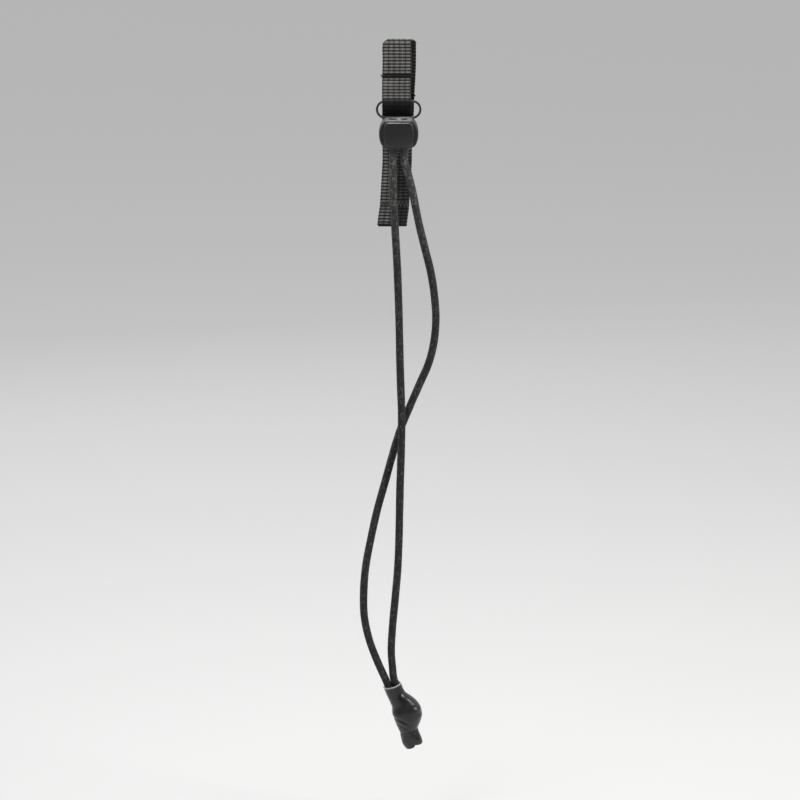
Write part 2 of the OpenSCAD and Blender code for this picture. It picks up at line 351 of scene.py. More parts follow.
def thread_material():
    """Black sewing thread, greyer where it is dusty."""
    n = Nodes("thread", specular=0.25, sheen=0.03)
    twist = n.noise(3000, 3, 0.5, n.stretched((1, 0.3, 1)))
    n.into("Base Color", n.ramp(n.total((twist, 0.5), (n.attribute("dust"), 0.55)), [
        (0.15, (0.004, 0.004, 0.0045)), (0.4, (0.018, 0.0175, 0.018)), (1.0, (0.09, 0.087, 0.083))]))
    n.into("Roughness", n.remap(twist, 0.3, 0.7, 0.45, 0.7))
    n.bump((twist, 0.5, 0.00005))
    return n.material


def moulded_material(name, dark, light, rough, grain):
    """Spark-eroded mould texture: a fine grain, faint flow marks, rubbed high spots, and a painted highlight
    on the housing's top.
    """
    n = Nodes(name, specular=0.5)
    texture = n.noise(grain, 5, 0.65)
    flow = n.noise(160, 4, 0.55, n.stretched((1, 1, 2.5)))
    wear = n.attribute("edge")
    # painted highlight: the housing's top face is lightened up to fourteen times the light tone
    dust = n.math("MULTIPLY", n.attribute("dust"), n.remap(n.noise(700, 4), 0.3, 0.7, 0.7, 1))
    tone = n.total((flow, 0.5), (wear, 0.25), (dust, 0.65))
    rubbed, dusty = tuple(2 * c for c in light), tuple(14 * c for c in light)
    n.into("Base Color", n.ramp(tone, [(0.15, dark), (0.4, light), (0.6, rubbed), (1.0, dusty)]))
    n.into("Roughness", n.math("SUBTRACT", n.remap(texture, 0.3, 0.7, rough - 0.07, rough + 0.08),
                               n.math("MULTIPLY", wear, 0.1)))
    n.bump((texture, 0.35, 0.00003), (flow, 0.15, 0.0001))
    return n.material


def shrink_material():
    """Shrunk polyolefin tube: semi-gloss, drawn lengthwise, dulled in patches, with painted highlights on
    its cut rims.
    """
    n = Nodes("shrink_tube", specular=0.45)
    draw = n.noise(700, 4, 0.6, n.stretched((1, 1, 0.3)))
    haze = n.noise(240, 4, 0.6)
    # painted highlight: the cut rims, marked by the edge value, are lightened
    n.into("Base Color", n.ramp(n.total((haze, 0.55), (n.attribute("edge"), 1)), [
        (0.2, (0.007, 0.0066, 0.0075)), (0.5, (0.014, 0.0135, 0.015)), (1.0, (0.3, 0.3, 0.305))]))
    n.into("Roughness", n.remap(haze, 0.35, 0.65, 0.24, 0.38))
    n.bump((draw, 0.25, 0.0001), (n.noise(2600, 3), 0.12, 0.00003))
    n.shader.inputs["Coat Weight"].default_value = 0.15
    n.shader.inputs["Coat Roughness"].default_value = 0.25
    return n.material


def steel_material():
    """Drawn spring wire."""
    n = Nodes("spring_steel", metallic=1.0)
    drawn = n.noise(2400, 3, 0.5, n.stretched((1, 6, 1)))
    n.into("Base Color", n.ramp(drawn, [(0.3, (0.42, 0.42, 0.43)), (0.7, (0.62, 0.61, 0.6))]))
    n.into("Roughness", n.remap(drawn, 0.3, 0.7, 0.22, 0.42))
    n.bump((drawn, 0.2, 0.00002))
    return n.material


# ------------------------ mesh helpers

def store(mesh, **attributes):
    """Stores each attribute's values on the mesh's points, for the materials to read."""
    for key, values in attributes.items():
        layer = mesh.attributes.new(key, "FLOAT", "POINT")
        layer.data.foreach_set("value", np.asarray(values, np.float32).ravel())


def add_mesh(name, points, faces, material=None, **attributes):
    """A smooth mesh object from points in millimetres, with its attributes' values by point."""
    mesh = bpy.data.meshes.new(name)
    mesh.from_pydata((np.asarray(points) * MM).tolist(), [], faces)
    store(mesh, **attributes)
    mesh.polygons.foreach_set("use_smooth", [True] * len(mesh.polygons))
    if material:
        mesh.materials.append(material)
    mesh.validate()
    mesh.update()
    return add_object(name, mesh)


def grid_faces(rows, columns, joined=False, offset=0):
    """Quads between rings of points, and from the last ring to the first when joined."""
    i, k = np.meshgrid(np.arange(rows if joined else rows - 1), np.arange(columns), indexing="ij")
    after, above = (k + 1) % columns, (i + 1) % rows
    quads = np.stack([i * columns + k, i * columns + after,
                      above * columns + after, above * columns + k], axis=-1)
    return (quads.reshape(-1, 4) + offset).tolist()


def circle(sides):
    """Cosines and sines of even steps round a circle."""
    angle = np.linspace(0, 2 * np.pi, sides, endpoint=False)
    return np.cos(angle), np.sin(angle)


def loft(name, rings, material=None, **attributes):
    """A closed skin over rings of points, each (columns, 3), with flat fans over its ends."""
    rings = np.asarray(rings)
    rows, columns = rings.shape[:2]
    points = rings.reshape(-1, 3)
    faces = grid_faces(rows, columns)
    points = np.vstack([points, rings[0].mean(axis=0), rings[-1].mean(axis=0)])
    first, last = rows * columns, rows * columns + 1
    for k in range(columns):
        after = (k + 1) % columns
        faces.append([first, after, k])
        faces.append([last, (rows - 1) * columns + k, (rows - 1) * columns + after])
    for key, values in attributes.items():
        values = np.asarray(values).reshape(-1)
        attributes[key] = np.append(values, [values[:columns].mean(), values[-columns:].mean()])
    return add_mesh(name, points, faces, material, **attributes)


def smooth_line(points, step):
    """A Catmull-Rom curve through the points, with points about step apart."""
    def mixed(a, b, at_a, at_b):
        return (at_b - t) / (at_b - at_a) * a + (t - at_a) / (at_b - at_a) * b

    p = np.asarray(points, float)
    p = np.vstack([2 * p[0] - p[1], p, 2 * p[-1] - p[-2]])
    knots = np.concatenate([[0], np.cumsum(np.sqrt(np.linalg.norm(np.diff(p, axis=0), axis=1)))])
    curve = []
    for i in range(1, len(p) - 2):
        count = max(2, int(np.linalg.norm(p[i + 1] - p[i]) / (0.25 * step)))
        t = np.linspace(knots[i], knots[i + 1], count, endpoint=False)[:, None]
        at = knots[i - 1:i + 3]
        a = [mixed(p[i - 1 + k], p[i + k], at[k], at[k + 1]) for k in range(3)]
        b = [mixed(a[k], a[k + 1], at[k], at[k + 2]) for k in range(2)]
        curve.append(mixed(*b, at[1], at[2]))
    curve = np.vstack(curve + [p[-2][None]])
    return resampled(curve, step)


def distances(line):
    """How far along the line each of its points lies."""
    return np.concatenate([[0], np.cumsum(np.linalg.norm(np.diff(line, axis=0), axis=1))])


def resampled(line, step):
    """The line again, with points at even steps close to the one asked for."""
    along = distances(line)
    at = np.linspace(0, along[-1], max(2, int(round(along[-1] / step)) + 1))
    return np.stack([np.interp(at, along, line[:, k]) for k in range(line.shape[1])], axis=1)


def carried_frames(line, first=(1.0, 0.0, 0.0)):
    """Two directions square to the line at each point, turned as little as possible along it."""
    d = np.gradient(line, axis=0)
    d /= np.linalg.norm(d, axis=1, keepdims=True)
    u = np.zeros_like(line)
    now = np.array(first, float)
    for i, along in enumerate(d):
        now = now - along * now.dot(along)
        now /= np.linalg.norm(now)
        u[i] = now
    return u, np.cross(d, u)


def line_length(line):
    """Length of a line along its points."""
    return float(distances(line)[-1])


def rings_round(line, radius, sides, first=(1.0, 0.0, 0.0)):
    """Rings of points round a line; the radius is one number, or an array by ring and point."""
    u, v = carried_frames(line, first)
    cos, sin = circle(sides)
    around = cos[:, None] * u[:, None] + sin[:, None] * v[:, None]
    return line[:, None] + np.asarray(radius)[..., None] * around


# ------------------------ cords

# The hanging legs' routes in millimetres, as in the CAD model: x, y from the bores' plane, and z
LEFT_ROUTE = [
    (-2.2, 0, 10), (-2, 0, 2), (-1.4, -0.2, -10), (-0.6, -0.5, -24), (0, -0.8, -40),
    (0.3, -1.2, -52), (0.5, -1.5, -62), (0.8, -1.7, -72), (1.1, -1.8, -81), (1.1, -1.8, -91),
    (0.8, -1.7, -102), (0.5, -1.4, -112), (0.3, -1, -122), (0.1, -0.6, -132),
    (-0.4, -0.3, -144), (-1.4, -0.1, -156), (-2.4, 0, -167), (-2.9, 0, -177),
    (-2.4, 0, -184)]
RIGHT_ROUTE = [
    (3.2, 0, 12), (5, 0, 5), (7.6, 0.1, -8), (10, 0.3, -18), (12.4, 0.5, -28),
    (13.8, 0.8, -38), (14.2, 1, -46), (13.4, 1.2, -55), (11.4, 1.4, -63),
    (8, 1.6, -71), (4.2, 1.7, -80), (0.6, 1.7, -89), (-2.4, 1.7, -99),
    (-5.4, 1.4, -110), (-8.4, 1, -121), (-10.8, 0.6, -132), (-12.8, 0.3, -143),
    (-13.6, 0.1, -153), (-13.4, 0, -163), (-11.6, 0, -172), (-8.8, 0, -180)]
SLEEVE_AXIS = np.array([math.sin(SLEEVE_LEAN), 0, -math.cos(SLEEVE_LEAN)])
SLEEVE_ACROSS = np.array([math.cos(SLEEVE_LEAN), 0, math.sin(SLEEVE_LEAN)])
STRANDS = 12          # strands that run each way round a braided cord
PICK = 0.72           # length of one crossing along the cord
BRAID_DEPTH = 0.17    # of the grooves between the strands


def braid_height(a, b):
    """Height from 0 to 1 of a plain braid at strand coordinates a and b, the place across the
    strand on top there, and a chance value from 0 to 1 for that crossing."""
    i, j = np.round(a), np.round(b)
    lift_a = np.cos(np.pi * (b - i))
    lift_b = -np.cos(np.pi * (a - j))
    round_a = np.sqrt(np.clip(1 - (1.85 * (a - i)) ** 2, 0, 1))
    round_b = np.sqrt(np.clip(1 - (1.85 * (b - j)) ** 2, 0, 1))
    height_a, height_b = 0.55 * lift_a + round_a, 0.55 * lift_b + round_b
    on_a = height_a > height_b
    height = np.maximum(height_a, height_b)
    lane = np.where(on_a, a - i, b - j)
    # large odd factors scatter the chance value from one crossing to the next
    chance = np.modf(np.abs(np.sin(i * 12.9898 + j * 78.233) * 43758.5453))[0]
    return np.clip((height + 0.1) / 1.65, 0, 1), lane, chance


def rounded_off(along, length, least):
    """The share of its full size that a piece has at each place, as its two ends round off."""
    from_end = np.clip(np.minimum(along, along[-1] - along) / length, 0, 1)
    return np.sqrt(np.clip(1 - (1 - from_end) ** 2, least, 1))[:, None]


def braided_rings(line, diameter, sides, depth, ends=0.6):
    """Rings of a braided tube along the line, rounded off at its ends, and the values that its
    material reads."""
    along = distances(line)
    turn = STRANDS * np.arange(sides) / sides
    run = along[:, None] / (2 * PICK)
    height, lane, chance = braid_height(turn + run, turn - run)
    grey = 0.15 + 0.35 * chance + 0.35 * np.clip((chance - 0.72) / 0.2, 0, 1)
    slack = 0.012 * np.sin(along / 7.0) + 0.008 * np.sin(along / 2.3 + 1)
    radius = diameter / 2 * (1 + slack[:, None]) - depth * (1 - height)
    radius *= rounded_off(along, ends, 0.02)
    # painted light: the braid is lighter near the lock, at the top, and darker lower down
    painted_top_light = 0.72 + 0.5 * np.clip((line[:, Z] + 25) / 45, 0, 1)
    # painted shade: the flecks dim towards the braid's grooves
    looks = {"crown": height, "fleck": grey * (0.35 + 0.65 * height),
             "lane": lane * np.pi * diameter / STRANDS,
             "painted_top_light": np.broadcast_to(painted_top_light[:, None], height.shape)}
    return rings_round(line, radius, sides), looks


def add_cord_leg(side, name, route, material):
    """One cord from inside the lock's top mouth, down through it and along its leg to the knot."""
    x = side * CORD_X
    end = MOUTH - side * (CORD_D / 2 + 0.05) * SLEEVE_ACROSS
    points = [(x, CORD_Y, z) for z in (RUN_TOP, 25, PIVOT[Z], PIVOT[Z] - 3)]
    points += [(px, CORD_Y + py, pz) for px, py, pz in route]
    points += [end - 2 * SLEEVE_AXIS, end + 3.4 * SLEEVE_AXIS]
    line = smooth_line(points, 0.2)
    rings, looks = braided_rings(line, CORD_D, 64, BRAID_DEPTH)
    return loft(name, rings, material, **looks), line


# ------------------------ webbing

RIB = 1.25            # distance between ribs along the webbing
COLUMN = 2.1          # distance between columns of warp across it
WEAVE_DEPTH = 0.2     # of the grooves between the ribs
HALF_W = STRAP_W / 2 - 0.12
HALF_T = STRAP_T / 2


def strap_line():
    """The strap's own line, as x, y and z from the tail's back layer, up and over the fold, down
    round the bar and down the tail again."""
    back = -STRAP_T / 2
    front = -1.5 * STRAP_T - LAYER_GAP
    fold = STRAP_T + LAYER_GAP / 2
    wrap = BAR_R + 0.1 + STRAP_T / 2
    top = TAB_TOP - fold
    line = [(-2.45, back - 0.5, TAIL_END + 0.1), (-2.1, back - 0.2, TAIL_END + 3.5),
            (-1.65, back, -4), (-1.1, back, 4), (-0.55, back, 14), (0.0, back, 26),
            (0.6, back, 38), (0.9, back, 48), (1.0, back, top - 2)]
    for angle in range(0, 181, 20):
        a = math.radians(angle)
        line.append((1.0 - 1.8 * angle / 180, -fold + (fold - STRAP_T / 2) * math.cos(a),
                     top + (fold - STRAP_T / 2) * math.sin(a)))
    line += [(-0.8, front, top - 2), (-0.75, front, 53), (FRONT_X, front, STITCH_Z),
             (FRONT_X, front - 0.15, STITCH_Z - 1.6), (FRONT_X, front - 1.5, STITCH_Z - 5)]
    for angle in (160, 175, 190, 205, 220):
        a = math.radians(angle)
        line.append((FRONT_X, BAR[Y] + wrap * math.cos(a), BAR[Z] + wrap * math.sin(a)))
    line += [(FRONT_X, front - 1.6, 34), (FRONT_X, front - 0.25, 32.2), (FRONT_X, front, 30.6),
             (FRONT_X, front, 26), (-0.85, front, 14), (-1.3, front, 5), (-1.85, front, -3),
             (-2.3, front - 0.3, TAIL_END + 4.4), (-2.65, front - 0.85, TAIL_END + 0.9)]
    return smooth_line(line, 0.215)


def strap_section():
    """The strap's cross-section, along the outer face and back along the inner: place across it,
    side from 1 (outer) to -1 (inner), and 0 on the faces up to 1 in the middle of a selvedge."""
    flat = np.linspace(-1, 1, 66) * (HALF_W - HALF_T * 0.8)
    turn = np.radians(np.linspace(90, -90, 9)[1:-1])
    bulge = flat[-1] + np.cos(turn) * HALF_T * 0.8
    face, edge = np.ones(len(flat)), np.sin(turn)
    across = np.concatenate([flat, bulge, flat[::-1], -bulge])
    facing = np.concatenate([face, edge, -face, -edge])
    selvedge = np.concatenate([0 * face, 1 - np.abs(edge), 0 * face, 1 - np.abs(edge)])
    return across, facing, selvedge


def weave_height(across, along, edge):
    """Height from 0 to 1 of ribbed webbing: ribs in columns, each of three warp yarns."""
    rib = np.abs(np.cos(np.pi * along / RIB)) ** 0.7
    column = np.abs(np.cos(np.pi * across / COLUMN)) ** 0.45
    yarn = 0.5 + 0.5 * np.cos(6 * np.pi * across / COLUMN)
    height = rib * (0.5 + 0.38 * column + 0.12 * yarn * column)
    return np.clip(height * (1 - 0.35 * edge), 0, 1)


def wander(along):
    """The strap's small sideways drift along its length."""
    return 0.12 * np.sin(along / 9.0) + 0.05 * np.sin(along / 3.1 + 0.7)


def strap_skin(line, along, height):
    """Points of the strap's skin, with the woven height pressed into both faces."""
    across, facing, selvedge = strap_section()
    d = np.gradient(line[:, 1:], axis=0)
    d /= np.linalg.norm(d, axis=1, keepdims=True)
    normal = np.stack([0 * along, d[:, 1], -d[:, 0]], axis=1)   # out of the strap's outer face
    z, run = line[:, 2:], along[:, None]
    thick = facing * HALF_T * np.where(selvedge > 0, 1 - 0.12 * (1 - height), 1)
    thick -= np.sign(facing) * WEAVE_DEPTH * (1 - height) * (selvedge == 0)
    thick *= rounded_off(along, 0.5, 0.03)
    # the layers cup slightly across their width, except round the bar and in the tail
    thick -= 0.11 * (across / HALF_W) ** 2 * np.clip((run - 40) / 20, 0, 1) \
        * np.clip((along[-1] - run - 60) / 10, 0, 1)
    points = (line * np.array([0, 1, 1]))[:, None] + thick[..., None] * normal[:, None]
    # the fold: bumps where the columns turn over it, and a corner drawn in at the left
    near_fold = np.clip(1 - (TAB_TOP - z) / 1.6, 0, 1)
    bumps = 0.95 * (np.abs(np.cos(np.pi * across / COLUMN)) ** 0.7 - 0.5)
    points[..., Z] += near_fold * bumps * (facing > 0)
    drawn_in = 1.5 * np.clip((z - TAB_TOP + 3.6) / 3.6, 0, 1) ** 2
    ribbed = 1 - 0.012 * np.cos(2 * np.pi * run / RIB) * selvedge
    points[..., X] = line[:, :1] + wander(run) + across * ribbed \
        + drawn_in * np.clip(-across / HALF_W - 0.25, 0, 1)
    # the tail's right half falls away from the cords
    below = np.clip((14 - z) / 14, 0, 1)
    points[..., Y] += 0.5 * below * np.clip(across / HALF_W, 0, 1) ** 1.5
    return points


def strap_crown(line, along, height, sewn):
    """How grey the weave looks: grey on its crowns, with painted shade in its grooves and where the strap
    lies sheltered.
    """
    across, facing, _ = strap_section()
    y, z = line[:, 1:2], line[:, 2:]
    from_end = np.minimum(along, along[-1] - along)[:, None]
    # darker at the cut ends, and painted shade along the thread row
    crown = height * np.where(from_end < 0.6, 0.4, 1) * (1 - 0.7 * sewn)
    # painted shade on the faces turned to each other, and on the back
    crown *= np.where((facing < 0) & (z > 20), 0.45, 1)
    crown *= np.where((facing > 0) & (y > -STRAP_T) & (z < TAB_TOP - STRAP_T), 0.7, 1)
    # painted shade on the part that leans out to the bar and wraps it
    in_front = y < -1.5 * STRAP_T
    leaning = np.clip((BAR[Z] + 9 - z) / 4, 0, 1)
    wrapped = np.clip((BAR[Z] + 1.9 - z) / 1.6, 0, 1)
    crown *= 1 - (in_front & (z > 30)) * (0.22 * leaning + 0.48 * wrapped)
    # painted shade on the tail's right half
    in_tail = np.clip((20 - z) / 6, 0, 1) * in_front
    return crown * (1 - in_tail * np.clip((across + 2) / 3, 0, 1) * 0.42)


def add_strap(material):
    """Both faces and both selvedges of the one strap, woven, folded and cut; and its line."""
    line = strap_line()
    along = distances(line)
    run = along[:, None]
    across, _, selvedge = strap_section()
    height = weave_height(across, run + 0.2 * wander(run), selvedge)
    # the tab's thread row pulls its front layer in
    at_row = (line[:, Y] < -STRAP_T) & (line[:, Z] > 42)
    sewn = np.where(at_row, np.exp(-((line[:, Z] - STITCH_Z) / 0.7) ** 2), 0)[:, None]
    height = height * (1 - 0.75 * sewn)
    strap = loft("webbing", strap_skin(line, along, height), material,
                 crown=strap_crown(line, along, height, sewn),
                 across=np.broadcast_to(across, height.shape),
                 along=np.broadcast_to(run, height.shape))
    return strap, line


def add_threads(name, rows, dusty, material):
    """Stitches as short arched threads; rows holds (x, y, z, dx, dz, length) for each."""
    steps, sides = 9, 8
    t = np.linspace(-1, 1, steps)
    radius = 0.19 * np.sqrt(np.clip(1 - np.abs(t) ** 6, 0.05, 1))[:, None]
    points, faces = [], []
    for x, y, z, dx, dz, length in rows:
        line = np.stack([x + dx * t * length / 2, y - 0.16 * (1 - t ** 4) + 0.02,
                         z + dz * t * length / 2], axis=1)
        first = len(points) * steps * sides
        points.append(rings_round(line, radius, sides, (0.2, 0.9, 0.35)).reshape(-1, 3))
        faces += grid_faces(steps, sides, offset=first)
        faces.append([first + k for k in reversed(range(sides))])
        faces.append([first + (steps - 1) * sides + k for k in range(sides)])
    points = np.vstack(points)
    return add_mesh(name, points, faces, material, dust=np.full(len(points), dusty))


def tab_rows():
    """The row that closes the tab, and the loose thread ends beside it."""
    pitch, length = 1.85, 1.75
    rows = [(FRONT_X + (i - 2.5) * pitch, STRAP_FRONT - 0.12, STITCH_Z + 0.05 * (-1) ** i, 1, 0.05,
             length) for i in range(6)]
    return rows + [(-6.5, STRAP_FRONT + 0.1, STITCH_Z + 0.1, 0.7, -0.7, 1.1),
                   (-6.3, STRAP_FRONT - 0.1, STITCH_Z - 0.2, 0.4, 0.9, 0.9),
                   (6.0, -1.3, 39.6, 0.6, -0.8, 1.2),
                   (6.05, -1.2, 39.2, 0.9, 0.3, 0.8)]


def tack_rows():
    """The bartack that sews the tail down, to the left of the tab's row, as the tail leans."""
    middle, pitch, length = -1.75, 0.66, 2.3
    return [(middle + (i - 7.5) * pitch, STRAP_FRONT - 0.02, TACK_Z + 0.1 * (-1) ** i,
             0.16 * (-1) ** i, 1, length) for i in range(16)]


# ------------------------ moulded parts

def barrel(half_w, top, bottom, side_r, bottom_r, corner_r, corner_off, count=180):
    """The barrel outline of the housing and button, as (x, z) points at even steps: bulging
    sides, flat top, shallow round bottom and rounded corners."""
    zs = bottom + (top - bottom) * (0.5 - 0.5 * np.cos(np.linspace(0, np.pi, 301)))
    half = np.full(len(zs), np.inf)
    for centre_x, centre_z, r in ((half_w - side_r, MID_Z, side_r), (0, bottom + bottom_r, bottom_r),
                                  (0, MID_Z + corner_off, corner_r), (0, MID_Z - corner_off, corner_r)):
        half = np.minimum(half, centre_x + np.sqrt(np.maximum(r * r - (zs - centre_z) ** 2, 0)))
    half[0] = 0
    right = np.stack([half, zs], axis=1)
    outline = np.vstack([right, [[0, top]], (right * (-1, 1))[::-1][:-1]])
    closed = np.vstack([outline, outline[:1]])
    return resampled(closed, line_length(closed) / count)[:count]


def button_outline(gap=0):
    """The button's outline, or that of the cavity with a gap all round it."""
    return barrel(BUTTON_W / 2 + gap, BUTTON_TOP + gap, BUTTON_BOTTOM - gap, side_r=18 + gap,
                  bottom_r=16 + gap, corner_r=7 + gap, corner_off=0.6)


def outline_normals(outline):
    """Directions out of a closed outline at its points."""
    d = np.roll(outline, -1, axis=0) - np.roll(outline, 1, axis=0)
    n = np.stack([d[:, 1], -d[:, 0]], axis=1)
    return n / np.linalg.norm(n, axis=1, keepdims=True)


def softened(outline, passes):
    """The outline with its corners rounded by averaging neighbours."""
    for _ in range(passes):
        outline = 0.5 * outline + 0.25 * (np.roll(outline, 1, axis=0) + np.roll(outline, -1, axis=0))
    return outline


def profile_rings(outline, steps, more_on_top=0):
    """Rings from an outline, at (y, inset) steps from front to back."""
    n = outline_normals(outline)
    share = 1 + more_on_top * np.clip(n[:, 1:], 0, 1) ** 3
    rings = []
    for y, inset in steps:
        flat = outline - n * inset * share
        rings.append(np.stack([flat[:, 0], np.full(len(flat), y), flat[:, 1]], axis=1))
    return rings


def combine(target, other, operation):
    """Joins another solid to the target, or cuts it out of the target, and removes it."""
    modifier = target.modifiers.new("cut", "BOOLEAN")
    modifier.operation, modifier.object, modifier.solver = operation, other, "EXACT"
    applied(target)
    bpy.data.objects.remove(other)


def applied(piece):
    """Applies a piece's modifiers to its mesh."""
    evaluated = piece.evaluated_get(bpy.context.evaluated_depsgraph_get())
    mesh = bpy.data.meshes.new_from_object(evaluated)
    piece.modifiers.clear()
    piece.data = mesh


def moulded(piece, voxel, material):
    """Turns a rough solid into one skin with softly rounded edges, as moulding leaves them."""
    remesh = piece.modifiers.new("skin", "REMESH")
    remesh.mode, remesh.voxel_size = "VOXEL", voxel * MM
    applied(piece)
    soften = piece.modifiers.new("soften", "SMOOTH")
    soften.factor, soften.iterations = 0.5, 4
    applied(piece)
    mesh = piece.data
    mesh.materials.clear()
    mesh.materials.append(material)
    mesh.polygons.foreach_set("use_smooth", [True] * len(mesh.polygons))
    mark_edges(mesh)
    return piece


def mark_edges(mesh):
    """Stores how sharply the skin bends outwards at each point, for wear along its edges, and
    a painted highlight on the housing's top, where it faces up."""
    count = len(mesh.vertices)
    co, normal = np.zeros(count * 3), np.zeros(count * 3)
    mesh.vertices.foreach_get("co", co)
    mesh.vertices.foreach_get("normal", normal)
    co, normal = co.reshape(-1, 3), normal.reshape(-1, 3)
    ends = np.zeros(len(mesh.edges) * 2, np.int64)
    mesh.edges.foreach_get("vertices", ends)
    a, b = ends.reshape(-1, 2).T
    d = co[b] - co[a]
    d /= np.maximum(np.linalg.norm(d, axis=1, keepdims=True), 1e-9)
    degree = np.maximum(np.bincount(ends, minlength=count), 1)

    def mean(at_a, at_b):
        """The mean, over the edges at each point, of a value for each end of each edge."""
        return (np.bincount(a, at_a, count) + np.bincount(b, at_b, count)) / degree

    bend = mean(-(d * normal[a]).sum(1), (d * normal[b]).sum(1))
    for _ in range(3):
        bend = 0.5 * bend + 0.5 * mean(bend[b], bend[a])
    # painted highlight on the housing's top where it faces up, and not on the loop above it or the button
    # below
    height = co[:, Z] / MM - HOUSING_TOP
    top_highlight = np.clip(normal[:, Z], 0, 1) ** 4 * (height > -0.8) * (height < 0.4)
    store(mesh, edge=np.clip((bend - 0.04) * 9, 0, 1), dust=top_highlight)


def rod(name, axis, centre, low, high, radius, sides=48):
    """A round rod along an axis, from low to high; centre gives its other two coordinates."""
    cos, sin = circle(sides)
    first, second = [k for k in (X, Y, Z) if k != axis]
    rings = np.zeros((2, sides, 3))
    rings[..., axis] = [[low], [high]]
    rings[..., first] = centre[0] + radius * cos
    rings[..., second] = centre[1] + radius * sin * (-1 if axis == Y else 1)
    return loft(name, rings)


def block(name, middle, half):
    """A box from its middle and its half sizes."""
    (x, y, z), (dx, dy, dz) = middle, half
    return loft(name, [[(x - dx, y - dy, level), (x + dx, y - dy, level), (x + dx, y + dy, level),
                        (x - dx, y + dy, level)] for level in (z - dz, z + dz)])


def loop_band():
    """The thin moulded loop: a flattened ring whose ears stand out at both sides."""
    ear_r, band_t, band_d = 3.6, 0.85, 1.6
    squareness = 0.55     # below 1 squares the band's section
    straight = 0.17255    # where the flat top and bottom end, as a cosine round the ring
    steps, sides = 160, 16
    cos, sin = circle(steps)
    spread = (LOOP_W / 2 - ear_r) * np.clip(cos / straight, -1, 1)
    out = np.stack([cos, 0 * cos, sin], axis=1)
    middle = out * (ear_r - band_t / 2) + (0, BAR[Y], LOOP_TOP - ear_r)
    middle[:, X] += spread
    c, s = (np.sign(v) * np.abs(v) ** squareness for v in circle(sides))
    rings = middle[:, None] + c[:, None] * out[:, None] * band_t / 2
    rings[..., Y] += s * band_d / 2
    return add_mesh("loop_band", rings.reshape(-1, 3), grid_faces(steps, sides, joined=True))


def add_housing(material):
    """The lock's body with its loop, bores and spring post, as one moulding."""
    outline = barrel(HOUSING_W / 2, HOUSING_TOP, HOUSING_BOTTOM, side_r=9.5, bottom_r=20,
                     corner_r=8.4, corner_off=1.1)
    front, back = HOUSING_FRONT, HOUSING_BACK
    front_edge, front_inset, back_edge = 2.2, 0.5, 1.2
    steps = [(front + front_edge * (1 - math.cos(a)), front_inset * (1 - math.sin(a)))
             for a in np.linspace(0, math.pi / 2, 6)]
    steps += [(front + 4, 0), (back - 3, 0)]
    steps += [(back - back_edge * math.cos(a), back_edge * (1 - math.cos(a)))
              for a in np.linspace(0, math.pi / 2, 7)[1:]]
    piece = loft("housing_moulding", profile_rings(softened(outline, 8), steps, more_on_top=0.9))
    combine(piece, loop_band(), "UNION")
    combine(piece, rod("bar", X, BAR[1:], -BAR_REACH, BAR_REACH, BAR_R), "UNION")
    inner_back = back - BACK_WALL
    combine(piece, loft("cavity", profile_rings(button_outline(BUTTON_GAP), [
        (front - 1, -0.35), (front, -0.25), (front + 0.3, 0), (inner_back, 0)])), "DIFFERENCE")
    for side in (-1, 1):
        combine(piece, rod("bore", Z, (side * CORD_X, CORD_Y), HOUSING_BOTTOM - 1, HOUSING_TOP + 1,
                           CORD_D / 2 + BORE_ROOM), "DIFFERENCE")
    for side in (-1, 1):
        middle = (side * BUTTON_W / 2, PLUNGER_BACK - RIB_BACK + TRAVEL / 2, MID_Z)
        combine(piece, block("groove", middle, (0.65, 1 + TRAVEL / 2, 1)), "DIFFERENCE")
    post_h, post_r = 1.1, 1.9
    combine(piece, rod("post", Y, (0, MID_Z), inner_back - post_h, inner_back + 0.3, post_r, 64), "UNION")
    return moulded(piece, 0.115, material)


def add_button(material):
    """The domed button with its guide ribs, cord slots and spring pocket, as one moulding."""
    dome_r, rim_r, chamfer = 24, 0.75, 0.2
    outline = softened(button_outline(), 5)
    normals = outline_normals(outline)
    middle = np.array([0, MID_Z])

    def ring(flat, y):
        return np.stack([flat[:, 0], np.zeros(len(flat)) + y, flat[:, 1]], axis=1)

    def dome(flat):
        return FACE_Y + dome_r - np.sqrt(dome_r ** 2 - ((flat - middle) ** 2).sum(axis=1))

    # rings from the middle of the face out to its rounded rim, then back along the skirt
    rim = outline - normals * rim_r
    faces = [middle + (rim - middle) * share for share in np.linspace(0.04, 1, 22)]
    rings = [ring(flat, dome(flat)) for flat in faces]
    rings += [ring(outline - normals * rim_r * (1 - math.sin(a)), dome(rim) + rim_r * (1 - math.cos(a)))
              for a in np.linspace(0, math.pi / 2, 8)[1:]]
    rings += [ring(outline, FACE_Y + 4), ring(outline, PLUNGER_BACK - chamfer),
              ring(outline - normals * chamfer, PLUNGER_BACK)]
    piece = loft("button_moulding", rings)
    slot_front, slot_back = CORD_Y - CORD_D / 2 - TRAVEL - 0.1, PLUNGER_BACK - 2.2
    for side in (-1, 1):
        rib = (side * BUTTON_W / 2, PLUNGER_BACK - RIB_BACK, MID_Z)
        combine(piece, block("rib", rib, (0.45, 0.8, 0.8)), "UNION")
        slot = (side * CORD_X, (slot_front + slot_back) / 2, MID_Z)
        combine(piece, block("slot", slot, (1.62, (slot_back - slot_front) / 2, 6)), "DIFFERENCE")
    combine(piece, rod("pocket", Y, (0, MID_Z), PLUNGER_BACK - POCKET_DEPTH, PLUNGER_BACK + 1,
                       POCKET_R, 64), "DIFFERENCE")
    return moulded(piece, 0.11, material)


